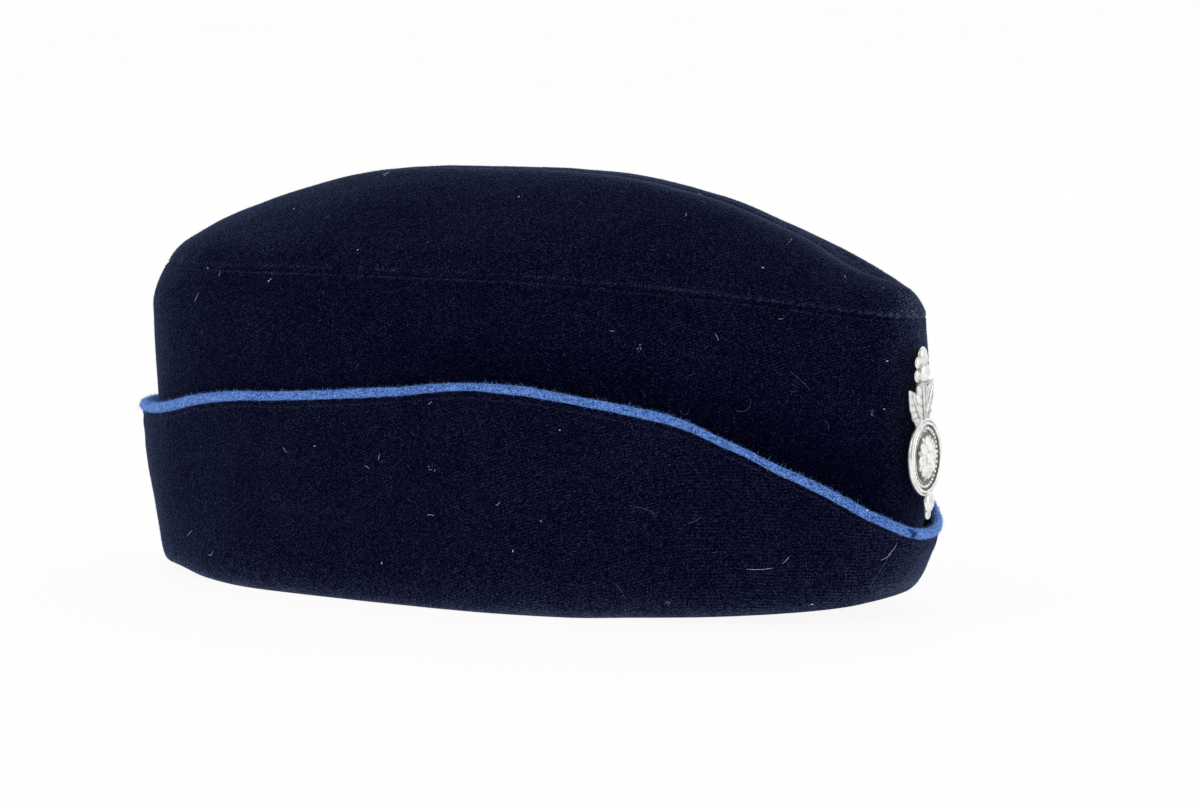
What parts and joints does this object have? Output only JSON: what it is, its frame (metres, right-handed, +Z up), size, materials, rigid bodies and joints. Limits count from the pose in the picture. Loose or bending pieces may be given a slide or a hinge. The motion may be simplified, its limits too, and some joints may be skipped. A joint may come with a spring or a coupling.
{
  "type": "side cap",
  "caption": "Boat-shaped wool side cap with a folded crown, a turned-up curtain edged with contrasting piping, and a metal badge at the centre front.",
  "frame": {"origin": "under the middle of the outline, on the surface that the cap stands on", "axes": "+X to the front of the cap, where the badge is, +Y to the wearer's left, +Z up"},
  "size_m": [0.2728, 0.104, 0.1314],
  "materials": {
    "navy_wool": "milled navy wool cloth with a short nap",
    "blue_piping": "light blue woven cloth over a cord",
    "silver_metal": "worn silver-coloured metal, darker in the hollows"
  },
  "bodies": {
    "root": {"body": "navy_wool", "crown": "navy_wool", "curtain": "navy_wool", "piping": "blue_piping", "badge": "silver_metal", "badge_clutch": "silver_metal"}
  },
  "joints": []
}
